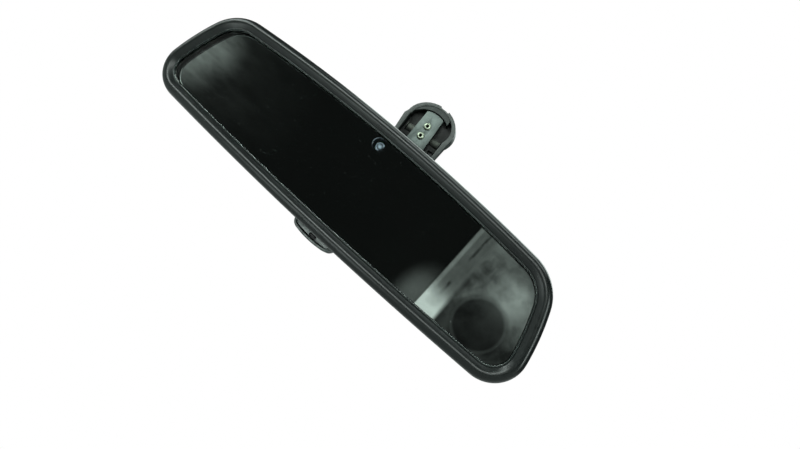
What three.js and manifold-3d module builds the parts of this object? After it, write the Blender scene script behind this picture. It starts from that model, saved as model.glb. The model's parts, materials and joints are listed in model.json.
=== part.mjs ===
// Interior rear-view mirror, auto-dimming, on a ball joint and a clip-in windscreen foot.
// Millimetres. X runs along the mirror, the glass looks towards -Y, +Z is up.
// Inside the assembly the head's outline is centred on X = 0, Z = 0, and Y = 0 is the front
// face of the glass. The whole assembly is then moved so that the origin lies on the foot's
// mounting face.

import * as THREE from 'three';
import { mergeVertices } from 'three/addons/utils/BufferGeometryUtils.js';
import Module from 'manifold-3d';

const wasm = await Module();
wasm.setup();

// ---------------------------------------------------------------- driving dimensions

const DEG = Math.PI / 180;

// head outline: tangent arcs from the top centre, round one end, to the bottom centre
const TOP_Z = 33.84;
const TOP_ARC = { radius: 1066, sweep: 5.15 * DEG, steps: 4 };
const UPPER_CORNER_ARC = { radius: 24.5, sweep: 62.2 * DEG, steps: 6 };
const END_ARC = { radius: 125, sweep: 12.35 * DEG, steps: 3 };
const LOWER_CORNER_ARC = { radius: 17.3, sweep: 97.8 * DEG, steps: 7 };
const BOTTOM_STEPS = 4;

// glass cell, front to back
const GLASS_INSET = 5;
const GLASS_THICKNESS = 1.9;
const FRONT_GLASS_Y = 0;
const CELL_SEAL_Y = 2.15;
const CELL_SEAL_THICKNESS = 0.4;
const REAR_GLASS_Y = 2.8;
const FOAM_Y = 5;
const FOAM_THICKNESS = 0.9;
const CARRIER_Y = 6.2;
const CARRIER_THICKNESS = 1.6;
const CARRIER_INSET = 3.75;

// circuit board and what it carries
const BOARD_Y = 9.3;
const BOARD_THICKNESS = 1.6;
const BOARD_HALF_LENGTH = 68;
const BOARD_BOTTOM_Z = -22;
const BOARD_TOP_Z = 26.4;
const BOARD_SCREW_X = 60;
const GLARE_SENSOR_Z = 21.8;
const BOOT = { innerRadius: 3.4, outerRadius: 4, boreRadius: 4.3 };
const FORWARD_SENSOR = { x: -36, z: 8 };
const PLUG = { x: 40, z: -4, width: 16, height: 10, frontY: 11.2, backY: 26 };
const PLUG_WALL = 1.5;
const PLUG_FLOOR_Y = 16;
const PIN_PITCH = 2.54;
const PIN_COUNT = 4;

// rear housing
const WALL = 2;
const COLLAR = { innerRadius: 12.6, outerRadius: 16, seatRadius: 14.3, frontY: 27.2, backY: 31.6 };
const CHIN = {
  halfWidth: 14.1,
  topZ: -24,
  bottomZ: -39.5,
  cornerRadius: 5,
  bowRadius: 60,
  frontY: 20.3,
  backY: 29,
};
const CHIN_WALL = 1.8;
const LED = { x: 0.8, z: -36.2 };

// ball joint
const BALL = { y: 25, radius: 8, steps: 10 };
const LINER_INNER = 8.3;
const LINER_OUTER = 9.5;
const SOCKET_RADIUS = 9.8;
const NECK_RADIUS = 3.6;
const SOCKET_SCREW = { x: 20.5, z: 8 };

// foot that clips round the windscreen button, drawn upright and then leaned over about the ball
const FOOT_LEAN = -5 * DEG;
const FOOT = {
  centreX: 0.8,
  centreZ: 58.7,
  halfWidth: 16.8,
  halfHeight: 14,
  frontY: 57,
  floorY: 63,
  backY: 65,
};
const FOOT_CAVITY = { halfWidth: 14.2, halfHeight: 12.1, bottomZ: 38 };
const STEM = { topHalfWidth: 17.2, topZ: 57, lowHalfWidth: 15.6, lowZ: 38, cavityHalfWidth: 14, edgeY: 61 };
const COLLAR_END_Z = 52.5;
const FLANK = { x: 12.4, z: 67.4 };
const ARM_FRONT_Y = 58.3;
const ARM_END_RADIUS = 11;
const BOSS_FRONT_Y = 42.5;
const COVER = { frontY: 65.3, backY: 66.6 };
const PLATE = {
  tipHalfWidth: 6,
  rootHalfWidth: 6.9,
  tipRadius: 16,
  tipZ: 67,
  bottomZ: 39,
  y: 58.3,
  thickness: 0.8,
};
const ARM_WINDOW = { x: 10.4, halfWidth: 2, bottomZ: 42.5, topZ: 47 };
const RIVET_Z = [57.55, 50.5];
const NOTCH = { left: -0.3, right: 5.8, depth: 0.9 };

// point of the mounting face that becomes the origin, before the lean
const FACE_POINT = new THREE.Vector3(-3, FOOT.frontY, 71.5);

// ---------------------------------------------------------------- solid helpers

function closedGeometry(vertices, triangles) {
  let volume = 0;
  for (const [a, b, c] of triangles) {
    volume += vertices[a].dot(new THREE.Vector3().crossVectors(vertices[b], vertices[c]));
  }
  const outward = volume > 0 ? triangles : triangles.map(([a, b, c]) => [a, c, b]);
  const geometry = new THREE.BufferGeometry();
  const positions = vertices.flatMap(v => [v.x, v.y, v.z]);
  geometry.setAttribute('position', new THREE.Float32BufferAttribute(positions, 3));
  geometry.setIndex(outward.flat());
  return geometry;
}

function toSolid(geometry) {
  const bare = geometry.clone();
  bare.deleteAttribute('normal');
  bare.deleteAttribute('uv');
  const merged = mergeVertices(bare, 1e-4);
  const index = merged.index.array;
  const kept = [];
  for (let i = 0; i < index.length; i += 3) {
    const [a, b, c] = [index[i], index[i + 1], index[i + 2]];
    if (a !== b && b !== c && c !== a) {
      kept.push(a, b, c);
    }
  }
  return new wasm.Manifold(new wasm.Mesh({
    numProp: 3,
    vertProperties: new Float32Array(merged.attributes.position.array),
    triVerts: new Uint32Array(kept),
  }));
}

function toGeometry(solid) {
  const mesh = solid.getMesh();
  const geometry = new THREE.BufferGeometry();
  geometry.setAttribute('position', new THREE.BufferAttribute(new Float32Array(mesh.vertProperties), 3));
  geometry.setIndex(new THREE.BufferAttribute(new Uint32Array(mesh.triVerts), 1));
  geometry.computeVertexNormals();
  return geometry;
}

// closed surface through equally long rings; open ends are capped by a fan
function loft(rings, closedLoop = false) {
  const count = rings[0].length;
  const vertices = rings.flat();
  const triangles = [];
  const spans = closedLoop ? rings.length : rings.length - 1;
  for (let k = 0; k < spans; k++) {
    const here = k * count;
    const next = ((k + 1) % rings.length) * count;
    for (let i = 0; i < count; i++) {
      const j = (i + 1) % count;
      triangles.push([here + i, here + j, next + j], [here + i, next + j, next + i]);
    }
  }
  if (!closedLoop) {
    const last = (rings.length - 1) * count;
    for (let i = 1; i < count - 1; i++) {
      triangles.push([0, i + 1, i], [last, last + i, last + i + 1]);
    }
  }
  return toSolid(closedGeometry(vertices, triangles));
}

function headOutline(inset) {
  const half = [];
  let x = 0;
  let z = TOP_Z;
  let heading = 0;
  for (const arc of [TOP_ARC, UPPER_CORNER_ARC, END_ARC, LOWER_CORNER_ARC]) {
    const centreX = x - arc.radius * Math.sin(heading);
    const centreZ = z - arc.radius * Math.cos(heading);
    for (let i = 0; i < arc.steps; i++) {
      const angle = heading + (arc.sweep * i) / arc.steps;
      const radius = arc.radius - inset;
      half.push([centreX + radius * Math.sin(angle), centreZ + radius * Math.cos(angle)]);
    }
    heading += arc.sweep;
    x = centreX + arc.radius * Math.sin(heading);
    z = centreZ + arc.radius * Math.cos(heading);
  }
  const bottomRadius = x / Math.sin(heading);
  const bottomCentreZ = z - bottomRadius * Math.cos(heading);
  for (let i = 0; i <= BOTTOM_STEPS; i++) {
    const angle = heading + ((Math.PI - heading) * i) / BOTTOM_STEPS;
    const radius = bottomRadius - inset;
    half.push([radius * Math.sin(angle), bottomCentreZ + radius * Math.cos(angle)]);
  }
  const mirrored = half.slice(1, -1).reverse().map(([px, pz]) => [-px, pz]);
  return [...half, ...mirrored];
}

function headRing(inset, y, scale = 1) {
  return headOutline(inset).map(([x, z]) => new THREE.Vector3(x * scale, y, z * scale));
}

// plate with the head's outline and softened edges
function headPlate(inset, y, thickness, edge) {
  return loft([
    headRing(inset + edge, y),
    headRing(inset, y + edge),
    headRing(inset, y + thickness - edge),
    headRing(inset + edge, y + thickness),
  ]);
}

// profile of [radius, y] turned about a line parallel to Y
function turned(profile, segments = 24, x = 0, z = 0) {
  const lathe = new THREE.LatheGeometry(profile.map(([r, y]) => new THREE.Vector2(r, y)), segments);
  const solid = toSolid(lathe);
  const outward = solid.volume() > 0 ? solid : toSolid(flipped(lathe));
  return outward.translate([x, 0, z]);
}

function flipped(geometry) {
  const copy = geometry.clone();
  const index = Array.from(copy.index.array);
  for (let i = 0; i < index.length; i += 3) {
    [index[i + 1], index[i + 2]] = [index[i + 2], index[i + 1]];
  }
  copy.setIndex(index);
  return copy;
}

function disc(radius, y0, y1, x = 0, z = 0, segments = 24) {
  return turned([[0, y0], [radius, y0], [radius, y1], [0, y1]], segments, x, z);
}

function tube(inner, outer, y0, y1, x = 0, z = 0, segments = 24) {
  return turned([[inner, y0], [outer, y0], [outer, y1], [inner, y1], [inner, y0]], segments, x, z);
}

function block(x0, x1, y0, y1, z0, z1) {
  const geometry = new THREE.BoxGeometry(x1 - x0, y1 - y0, z1 - z0);
  geometry.translate((x0 + x1) / 2, (y0 + y1) / 2, (z0 + z1) / 2);
  return toSolid(geometry);
}

// closed outline of [x, z] points pulled along Y
function slab(points, y0, y1, bevel = 0) {
  const shape = new THREE.Shape(points.map(([x, z]) => new THREE.Vector2(x, z)));
  const geometry = new THREE.ExtrudeGeometry(shape, {
    depth: y1 - y0 - 2 * bevel,
    bevelEnabled: bevel > 0,
    bevelThickness: bevel,
    bevelSize: bevel,
    bevelOffset: -bevel,
    bevelSegments: 2,
    steps: 1,
  });
  geometry.rotateX(Math.PI / 2);
  geometry.translate(0, y1 - bevel, 0);
  return toSolid(geometry);
}

// closed outline of [y, z] points pulled along X, centred
function sideSlab(points, halfWidth) {
  const shape = new THREE.Shape(points.map(([y, z]) => new THREE.Vector2(y, z)));
  const options = { depth: 2 * halfWidth, bevelEnabled: false, steps: 1 };
  const geometry = new THREE.ExtrudeGeometry(shape, options);
  geometry.rotateX(Math.PI / 2);
  geometry.rotateZ(Math.PI / 2);
  geometry.translate(-halfWidth, 0, 0);
  return toSolid(geometry);
}

function arcPoints(centreX, centreZ, radiusX, radiusZ, from, to, steps) {
  const points = [];
  for (let i = 0; i <= steps; i++) {
    const angle = (from + ((to - from) * i) / steps) * DEG;
    points.push([centreX + radiusX * Math.cos(angle), centreZ + radiusZ * Math.sin(angle)]);
  }
  return points;
}

// ring of sphere shell about the ball's centre, from one polar angle to another (0 = towards +Y)
function sphereShell(inner, outer, fromDeg, toDeg, steps) {
  const at = (radius, angle) => [radius * Math.sin(angle * DEG), BALL.y + radius * Math.cos(angle * DEG)];
  const outerArc = [];
  const innerArc = [];
  for (let i = 0; i <= steps; i++) {
    const angle = fromDeg + ((toDeg - fromDeg) * i) / steps;
    outerArc.push(at(outer, angle));
    innerArc.push(at(inner, angle));
  }
  const profile = [...outerArc, ...innerArc.reverse()].map(([r, y]) => [Math.max(r, 0) < 1e-6 ? 0 : r, y]);
  const closesOnAxis = profile[steps][0] === 0;
  return turned(closesOnAxis ? profileFromAxis(outerArc, innerArc) : [...profile, profile[0]], 28);
}

function profileFromAxis(outerArc, innerArc) {
  const clean = ([r, y]) => [r < 1e-6 ? 0 : r, y];
  return [...outerArc].reverse().map(clean).concat([...innerArc].reverse().map(clean));
}

function screw(headRadius, shankRadius, headY, shoulderY, tipY, x, z) {
  const recessRadius = headRadius * 0.45;
  const recess = slab(arcPoints(x, z, recessRadius, recessRadius, 0, 300, 5), headY - 1, headY + 1);
  const pointLength = 0.8 * Math.sign(tipY - headY);
  return turned([
    [0, headY],
    [headRadius, headY],
    [headRadius, shoulderY],
    [shankRadius, shoulderY],
    [shankRadius, tipY - pointLength],
    [0, tipY],
  ], 16, x, z).subtract(recess);
}

// ---------------------------------------------------------------- materials

const BLACK_PLASTIC = { color: 0x1b1d1d, roughness: 0.45, metalness: 0 };
const assembly = new THREE.Group();
assembly.name = 'rearview_mirror';
const head = new THREE.Group();
const ballJoint = new THREE.Group();
const foot = new THREE.Group();

function addPiece(group, name, solid, look) {
  const mesh = new THREE.Mesh(toGeometry(solid), new THREE.MeshStandardMaterial(look));
  mesh.name = name;
  group.add(mesh);
}

// ---------------------------------------------------------------- bezel and glass cell

// cross-section of the bezel: [inset from the silhouette, y]
const bezelSection = [
  [0.5, 12],
  [0, 7],
  [0, 2.4],
  [0.35, 0.2],
  [1.15, -1.5],
  [2.35, -2.6],
  [3.7, -3],
  [5, -2.75],
  [6.6, -1.9],
  [8, -0.95],
  [8, -0.35],
  [3.4, -0.35],
  [3.4, 8.1],
  [4, 8.3],
  [4, 8.8],
  [3.4, 9.3],
  [1.9, 9.5],
  [1.9, 12],
];
addPiece(head, 'bezel', loft(bezelSection.map(([inset, y]) => headRing(inset, y)), true), BLACK_PLASTIC);

addPiece(head, 'front_glass', headPlate(GLASS_INSET, FRONT_GLASS_Y, GLASS_THICKNESS, 0.35),
  { color: 0x20282a, roughness: 0.03, metalness: 0.1 });

const sealBack = CELL_SEAL_Y + CELL_SEAL_THICKNESS;
addPiece(head, 'cell_seal', loft([
  headRing(GLASS_INSET + 0.8, CELL_SEAL_Y),
  headRing(GLASS_INSET + 2.6, CELL_SEAL_Y),
  headRing(GLASS_INSET + 2.6, sealBack),
  headRing(GLASS_INSET + 0.8, sealBack),
], true), { color: 0x3a3a38, roughness: 0.6, metalness: 0 });

addPiece(head, 'rear_glass', headPlate(GLASS_INSET, REAR_GLASS_Y, GLASS_THICKNESS, 0.35),
  { color: 0xb9bdc0, roughness: 0.05, metalness: 0.9 });

// thin contact clips that hook round the long edges of the cell
const CLIP_INSET = { outer: 4.1, inner: 4.5, hook: 7.2 };
const CLIP_END = { frontY: 0.5, hookY: 4.9, backY: 5.3 };
const CLIP_HALF_LENGTH = 78;
const CLIP_LOOK = { color: 0xc8a870, roughness: 0.35, metalness: 1 };
const outlineBlock = (inset, y0, y1) => loft([headRing(inset, y0), headRing(inset, y1)]);
const clipBand = outlineBlock(CLIP_INSET.outer, CLIP_END.frontY, CLIP_END.backY)
  .subtract(outlineBlock(CLIP_INSET.inner, CLIP_END.frontY - 1, CLIP_END.hookY))
  .subtract(outlineBlock(CLIP_INSET.hook, CLIP_END.hookY - 1, CLIP_END.backY + 1));
const clipReach = (z0, z1) => block(-CLIP_HALF_LENGTH, CLIP_HALF_LENGTH, 0, 6, z0, z1);
addPiece(head, 'upper_contact_clip', clipBand.intersect(clipReach(0, 40)), CLIP_LOOK);
addPiece(head, 'lower_contact_clip', clipBand.intersect(clipReach(-40, 0)), CLIP_LOOK);

const sensorBore = disc(BOOT.boreRadius, FOAM_Y - 1, BOARD_Y, 0, GLARE_SENSOR_Z);
addPiece(head, 'foam_pad', headPlate(8.6, FOAM_Y, FOAM_THICKNESS, 0.2).subtract(sensorBore),
  { color: 0x4a4c4e, roughness: 0.95, metalness: 0 });

// carrier plate with posts for the circuit board
const carrierBack = CARRIER_Y + CARRIER_THICKNESS;
let carrier = headPlate(CARRIER_INSET, CARRIER_Y, CARRIER_THICKNESS, 0.3);
for (const side of [-1, 1]) {
  carrier = carrier.add(disc(4, CARRIER_Y + 0.5, BOARD_Y - 0.3, side * BOARD_SCREW_X, 0));
  carrier = carrier.subtract(disc(1.3, CARRIER_Y + 0.6, BOARD_Y + 1, side * BOARD_SCREW_X, 0, 16));
}
addPiece(head, 'carrier_plate', carrier.subtract(sensorBore),
  { color: 0x2b2c2e, roughness: 0.6, metalness: 0 });

// ---------------------------------------------------------------- circuit board

const boardBack = BOARD_Y + BOARD_THICKNESS;
let board = slab([
  [-BOARD_HALF_LENGTH, BOARD_BOTTOM_Z],
  [BOARD_HALF_LENGTH, BOARD_BOTTOM_Z],
  [BOARD_HALF_LENGTH, BOARD_TOP_Z],
  [-BOARD_HALF_LENGTH, BOARD_TOP_Z],
], BOARD_Y, boardBack);
for (const side of [-1, 1]) {
  board = board.subtract(disc(1.6, BOARD_Y - 1, boardBack + 1, side * BOARD_SCREW_X, 0, 16));
}
addPiece(head, 'circuit_board', board, { color: 0x1f5a34, roughness: 0.5, metalness: 0 });

for (const [index, side] of [-1, 1].entries()) {
  const x = side * BOARD_SCREW_X;
  const boardScrew = screw(2.6, 1, boardBack + 2, boardBack + 0.3, CARRIER_Y + 0.9, x, 0);
  addPiece(head, `board_screw_${index + 1}`, boardScrew,
    { color: 0x9a9c9e, roughness: 0.35, metalness: 1 });
}

const STEEL_LOOK = { color: 0xb4b6b8, roughness: 0.3, metalness: 1 };
const CHIP_LOOK = { color: 0x17181a, roughness: 0.5, metalness: 0 };

// glare sensor looks through the rear glass; the boot keeps stray light out
const sensorBoot = tube(BOOT.innerRadius, BOOT.outerRadius, FOAM_Y, BOARD_Y - 0.3, 0, GLARE_SENSOR_Z);
addPiece(head, 'sensor_boot', sensorBoot, { color: 0x25282c, roughness: 0.8, metalness: 0 });
addPiece(head, 'glare_sensor', turned([
  [0, 6.4],
  [0.9, 6.65],
  [1.6, 7.4],
  [1.75, 8.2],
  [2.4, 8.2],
  [2.4, BOARD_Y - 0.25],
  [0, BOARD_Y - 0.25],
], 20, 0, GLARE_SENSOR_Z), { color: 0xc9d6e6, roughness: 0.1, metalness: 0 });

// forward-looking sensor on the back of the board and the light guide in front of it
addPiece(head, 'forward_sensor', turned([
  [0, boardBack + 0.3],
  [2.5, boardBack + 0.3],
  [2.5, boardBack + 2],
  [1.6, boardBack + 2],
  [1.4, boardBack + 3.4],
  [0, boardBack + 3.9],
], 20, FORWARD_SENSOR.x, FORWARD_SENSOR.z), { color: 0xc9d6e6, roughness: 0.1, metalness: 0 });
const GUIDE_RADIUS = 3.6;
const GUIDE_END_Y = 30.4;
addPiece(head, 'forward_light_guide', turned([
  [0, 15.4],
  [GUIDE_RADIUS - 0.6, 15.4],
  [GUIDE_RADIUS - 0.6, 24.4],
  [GUIDE_RADIUS + 1.2, 24.4],
  [GUIDE_RADIUS + 1.2, 25.6],
  [GUIDE_RADIUS, 25.6],
  [GUIDE_RADIUS, GUIDE_END_Y - 0.5],
  [GUIDE_RADIUS - 0.9, GUIDE_END_Y],
  [0, GUIDE_END_Y + 0.2],
], 28, FORWARD_SENSOR.x, FORWARD_SENSOR.z), { color: 0x2a3036, roughness: 0.15, metalness: 0 });

function boardChip(name, centreX, centreZ, halfX, halfZ, height) {
  const chip = block(centreX - halfX, centreX + halfX, boardBack + 0.3, boardBack + 0.3 + height,
    centreZ - halfZ, centreZ + halfZ);
  addPiece(head, name, chip, CHIP_LOOK);
}
boardChip('controller_chip', -34, -10, 5, 5, 1.4);
boardChip('driver_transistor', 30, 14, 3.3, 3, 2.3);
addPiece(head, 'smoothing_capacitor', disc(3.1, boardBack + 0.3, boardBack + 6, 52, 10, 24), STEEL_LOOK);

// plug socket that opens through the rear housing
const plugBox = (grow, y0, y1) => block(
  PLUG.x - PLUG.width / 2 - grow,
  PLUG.x + PLUG.width / 2 + grow,
  y0,
  y1,
  PLUG.z - PLUG.height / 2 - grow,
  PLUG.z + PLUG.height / 2 + grow,
);
const PIN_HALF = 0.32;
const pinX = index => PLUG.x + (index - (PIN_COUNT - 1) / 2) * PIN_PITCH;
const pinBlock = (index, half, y0, y1) => block(
  pinX(index) - half,
  pinX(index) + half,
  y0,
  y1,
  PLUG.z - half,
  PLUG.z + half,
);
let plugSocket = plugBox(0, PLUG.frontY, PLUG.backY)
  .subtract(plugBox(-PLUG_WALL, PLUG_FLOOR_Y, PLUG.backY + 1));
for (let index = 0; index < PIN_COUNT; index++) {
  plugSocket = plugSocket.subtract(pinBlock(index, PIN_HALF + 0.3, PLUG.frontY - 1, PLUG_FLOOR_Y + 1));
}
addPiece(head, 'plug_socket', plugSocket, { color: 0x202224, roughness: 0.5, metalness: 0 });
for (let index = 0; index < PIN_COUNT; index++) {
  addPiece(head, `plug_pin_${index + 1}`, pinBlock(index, PIN_HALF, PLUG.frontY, PLUG_FLOOR_Y + 5),
    { color: 0xd9b45a, roughness: 0.25, metalness: 1 });
}

// ---------------------------------------------------------------- rear housing

// [inset, y, scale]: from the middle of the back, over the dome, to the front lip
const domeOutside = [
  [12.5, 31, 0.05],
  [12.5, 30.7, 0.22],
  [12.5, 29.8, 0.42],
  [12.5, 28.4, 0.66],
  [12.5, 27.1, 0.86],
  [12.5, 26, 1],
  [8.6, 24.5, 1],
  [5.1, 22.2, 1],
  [2.7, 19.4, 1],
  [1.2, 16.4, 1],
  [0.55, 13.6, 1],
  [0.5, 12.3, 1],
  [2.25, 12.3, 1],
  [2.25, 9.8, 1],
];
const domeInside = [
  [4.2, 9.8, 1],
  [4.2, 14.2, 1],
  [4.9, 17.6, 1],
  [7.1, 20.7, 1],
  [10.2, 22.7, 1],
  [14.3, 24.2, 1],
  [14.3, 25.2, 0.86],
  [14.3, 26.5, 0.66],
  [14.3, 27.9, 0.42],
  [14.3, 28.7, 0.22],
  [14.3, 29, 0.05],
];
const domeRings = [...domeOutside, ...domeInside].map(([inset, y, scale]) => headRing(inset, y, scale));
let housing = loft(domeRings);
const headInterior = loft(domeInside.map(([inset, y, scale]) => headRing(inset, y, scale)));

// collar round the ball socket
housing = housing.add(disc(COLLAR.outerRadius, COLLAR.frontY, COLLAR.backY - 0.8)
  .add(disc(COLLAR.outerRadius - 0.8, COLLAR.frontY, COLLAR.backY)));

// bosses that take the socket screws
const socketScrewPlaces = [[-1, -1], [-1, 1], [1, -1], [1, 1]]
  .map(([sx, sz]) => [sx * SOCKET_SCREW.x, sz * SOCKET_SCREW.z]);
const BOSS_Y = 25.3;
for (const [x, z] of socketScrewPlaces) {
  housing = housing.add(disc(3.3, BOSS_Y, 28.6, x, z, 20));
  housing = housing.subtract(disc(1.3, BOSS_Y - 1, 28.2, x, z, 16));
}
housing = housing.subtract(disc(COLLAR.innerRadius, COLLAR.frontY - 4, COLLAR.backY + 1));
housing = housing.subtract(disc(COLLAR.seatRadius, COLLAR.frontY - 8, COLLAR.frontY, 0, 0, 40));

// chin under the middle of the housing: a bowed lower edge between two round corners
function chinOutline(shrink) {
  const bowCentreZ = CHIN.bottomZ + CHIN.bowRadius;
  const cornerX = CHIN.halfWidth - CHIN.cornerRadius;
  const cornerZ = bowCentreZ - Math.sqrt((CHIN.bowRadius - CHIN.cornerRadius) ** 2 - cornerX ** 2);
  const turn = Math.atan2(cornerX, bowCentreZ - cornerZ) / DEG;
  const corner = CHIN.cornerRadius - shrink;
  const bow = CHIN.bowRadius - shrink;
  return [
    [-CHIN.halfWidth + shrink, CHIN.topZ],
    ...arcPoints(-cornerX, cornerZ, corner, corner, 180, 270 - turn, 5),
    ...arcPoints(0, bowCentreZ, bow, bow, 270 - turn, 270 + turn, 6).slice(1, -1),
    ...arcPoints(cornerX, cornerZ, corner, corner, 270 + turn, 360, 5),
    [CHIN.halfWidth - shrink, CHIN.topZ],
  ];
}
const CHIN_LIP = 1.5;
const chinHollowY = CHIN.frontY + 3;
// sloping face inside the lip
const chinRecess = slab(chinOutline(CHIN_LIP), CHIN.frontY - 1, CHIN.frontY + 3).intersect(sideSlab([
  [CHIN.frontY - 2, -20],
  [CHIN.frontY - 2, -40],
  [CHIN.frontY + 1.6, -40],
  [CHIN.frontY + 1.6, -38.2],
  [CHIN.frontY + 0.4, -33.5],
  [CHIN.frontY + 0.4, -20],
], 20));
const chinBody = slab(chinOutline(0), CHIN.frontY, CHIN.backY, 0.8).subtract(chinRecess);
const chinHollow = slab(chinOutline(CHIN_WALL), chinHollowY, CHIN.backY - CHIN_WALL);
const chinPassage = block(-9, 9, chinHollowY, 24, -29, -22);
housing = housing.add(chinBody.subtract(headInterior)).subtract(chinHollow).subtract(chinPassage);
const lensHole = slab(arcPoints(LED.x, LED.z, 2.5, 1.5, 0, 345, 23), CHIN.frontY - 1, chinHollowY + 0.5);
housing = housing.subtract(lensHole);

// openings for the light guide and the plug
const guideHole = disc(GUIDE_RADIUS + 0.35, 25.6, GUIDE_END_Y + 3, FORWARD_SENSOR.x, FORWARD_SENSOR.z);
housing = housing.subtract(guideHole);
housing = housing.subtract(plugBox(0.5, PLUG.backY - 0.5, PLUG.backY + 8));
addPiece(head, 'rear_housing', housing, BLACK_PLASTIC);

const LENS_FRONT_Y = 21.7;
addPiece(head, 'indicator_lens', slab(arcPoints(LED.x, LED.z, 2.2, 1.2, 0, 345, 23), LENS_FRONT_Y, 24)
  .add(slab(arcPoints(LED.x, LED.z, 3.2, 1.2, 0, 345, 23), 23.6, 24.4)),
{ color: 0x1a1210, roughness: 0.15, metalness: 0 });
addPiece(head, 'indicator_led', block(LED.x - 1.6, LED.x + 1.6, 24.7, 26.6, LED.z - 1.1, LED.z + 1.1),
  { color: 0xd8d0bc, roughness: 0.4, metalness: 0 });

// ---------------------------------------------------------------- ball socket in the head

const FLANGE_FRONT_Y = 22.6;
const SOCKET_FLOOR_Y = 13;
let socketBase = disc(12.4, SOCKET_FLOOR_Y - 1.4, BALL.y, 0, 0, 28)
  .add(block(-25, 25, FLANGE_FRONT_Y, BALL.y, -12, 12))
  .subtract(disc(SOCKET_RADIUS, SOCKET_FLOOR_Y, BALL.y + 1, 0, 0, 28));
for (const [x, z] of socketScrewPlaces) {
  socketBase = socketBase.subtract(disc(1.4, FLANGE_FRONT_Y - 1, BALL.y + 1, x, z, 16));
}
addPiece(head, 'socket_base', socketBase, { color: 0x6f7173, roughness: 0.45, metalness: 0.8 });

const pocketRadiusAt = y => Math.sqrt(SOCKET_RADIUS ** 2 - (y - BALL.y) ** 2);
const RETAINER_Y = 25.3;
addPiece(head, 'socket_retainer', turned([
  [pocketRadiusAt(RETAINER_Y), RETAINER_Y],
  [14, RETAINER_Y],
  [14, 26.9],
  [12.2, 26.9],
  [12.2, 31.4],
  [11.6, 32],
  [9.6, 32],
  [pocketRadiusAt(30.6), 30.6],
  [pocketRadiusAt(29.4), 29.4],
  [pocketRadiusAt(28), 28],
  [pocketRadiusAt(26.6), 26.6],
  [pocketRadiusAt(RETAINER_Y), RETAINER_Y],
], 28), { color: 0x303234, roughness: 0.55, metalness: 0 });

// dished washer that presses the front liner on the ball
addPiece(head, 'preload_washer', turned([
  [4.2, 14.2],
  [7.8, 13.3],
  [8.2, 13.3],
  [8.2, 13.8],
  [7.9, 13.8],
  [4.2, 14.7],
  [4.2, 14.2],
], 24), STEEL_LOOK);

for (const [index, [x, z]] of socketScrewPlaces.entries()) {
  const socketScrew = screw(2.7, 1, FLANGE_FRONT_Y - 2.2, FLANGE_FRONT_Y - 0.3, 27.8, x, z);
  addPiece(head, `socket_screw_${index + 1}`, socketScrew, STEEL_LOOK);
}

const LINER_LOOK = { color: 0xd9d6cc, roughness: 0.5, metalness: 0 };
addPiece(ballJoint, 'ball_liner_front', sphereShell(LINER_INNER, LINER_OUTER, 112, 180, 6), LINER_LOOK);
addPiece(ballJoint, 'ball_liner_rear', sphereShell(LINER_INNER, LINER_OUTER, 52, 70, 3), LINER_LOOK);

// ---------------------------------------------------------------- ball stud, arm and foot

const ballProfile = [];
const neckAngle = 180 - (Math.asin(NECK_RADIUS / BALL.radius) / DEG);
for (let i = 0; i <= BALL.steps; i++) {
  const angle = ((neckAngle * i) / BALL.steps) * DEG;
  ballProfile.push([i === 0 ? 0 : BALL.radius * Math.sin(angle), BALL.y - BALL.radius * Math.cos(angle)]);
}
const SHANK_RADIUS = 3;
const SHANK_END_Y = FOOT.backY - 0.2;
addPiece(foot, 'ball_stud', turned([
  ...ballProfile,
  [NECK_RADIUS, 38.6],
  [6.4, 39.4],
  [6.4, BOSS_FRONT_Y - 0.3],
  [SHANK_RADIUS, BOSS_FRONT_Y - 0.3],
  [SHANK_RADIUS, SHANK_END_Y - 0.5],
  [SHANK_RADIUS - 0.5, SHANK_END_Y],
  [0, SHANK_END_Y],
], 24), STEEL_LOOK);

// oval collar over a stem that narrows to a round end and runs up into the collar's left flank
const collarOutline = shrink => arcPoints(
  FOOT.centreX, FOOT.centreZ, FOOT.halfWidth - shrink, FOOT.halfHeight - shrink, 0, 350, 35);
const stemOutline = shrink => [
  [-STEM.topHalfWidth + shrink, STEM.topZ],
  [-STEM.lowHalfWidth + shrink, STEM.lowZ],
  [-ARM_END_RADIUS - 0.7 + shrink, 8],
  ...arcPoints(0, 0, ARM_END_RADIUS - shrink, ARM_END_RADIUS - shrink, 180, 360, 12),
  [ARM_END_RADIUS + 0.7 - shrink, 8],
  [STEM.lowHalfWidth - shrink, STEM.lowZ],
  [STEM.topHalfWidth - shrink, STEM.topZ],
  [-FLANK.x + shrink, FLANK.z - shrink],
];
// body whose outline steps in along Y: [shrink, y]
const stacked = (outline, steps) => loft(
  steps.map(([shrink, y]) => outline(shrink).map(([x, z]) => new THREE.Vector3(x, y, z))));
const armPlan = (stemSteps, collarSteps) => stacked(stemOutline, stemSteps)
  .add(stacked(collarOutline, collarSteps).subtract(block(-20, 20, 50, 70, 0, COLLAR_END_Z)));
const sideProfile = sideSlab([
  [FOOT.frontY, 80],
  [FOOT.frontY, 35],
  [ARM_FRONT_Y, 30],
  [ARM_FRONT_Y, -13],
  [FOOT.backY, -13],
  [FOOT.backY, 80],
], 20);
let footShell = armPlan(
  [[0, FOOT.frontY - 1], [0, STEM.edgeY], [1.2, FOOT.backY - 1.4], [3.2, FOOT.backY]],
  [[0, FOOT.frontY - 1], [0, FOOT.backY - 0.6], [0.6, FOOT.backY]],
).intersect(sideProfile);
const boss = turned([
  [0, BOSS_FRONT_Y],
  [7.6, BOSS_FRONT_Y],
  [8.2, BOSS_FRONT_Y + 0.8],
  [10.2, ARM_FRONT_Y + 0.5],
  [0, ARM_FRONT_Y + 0.5],
], 28);
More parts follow.
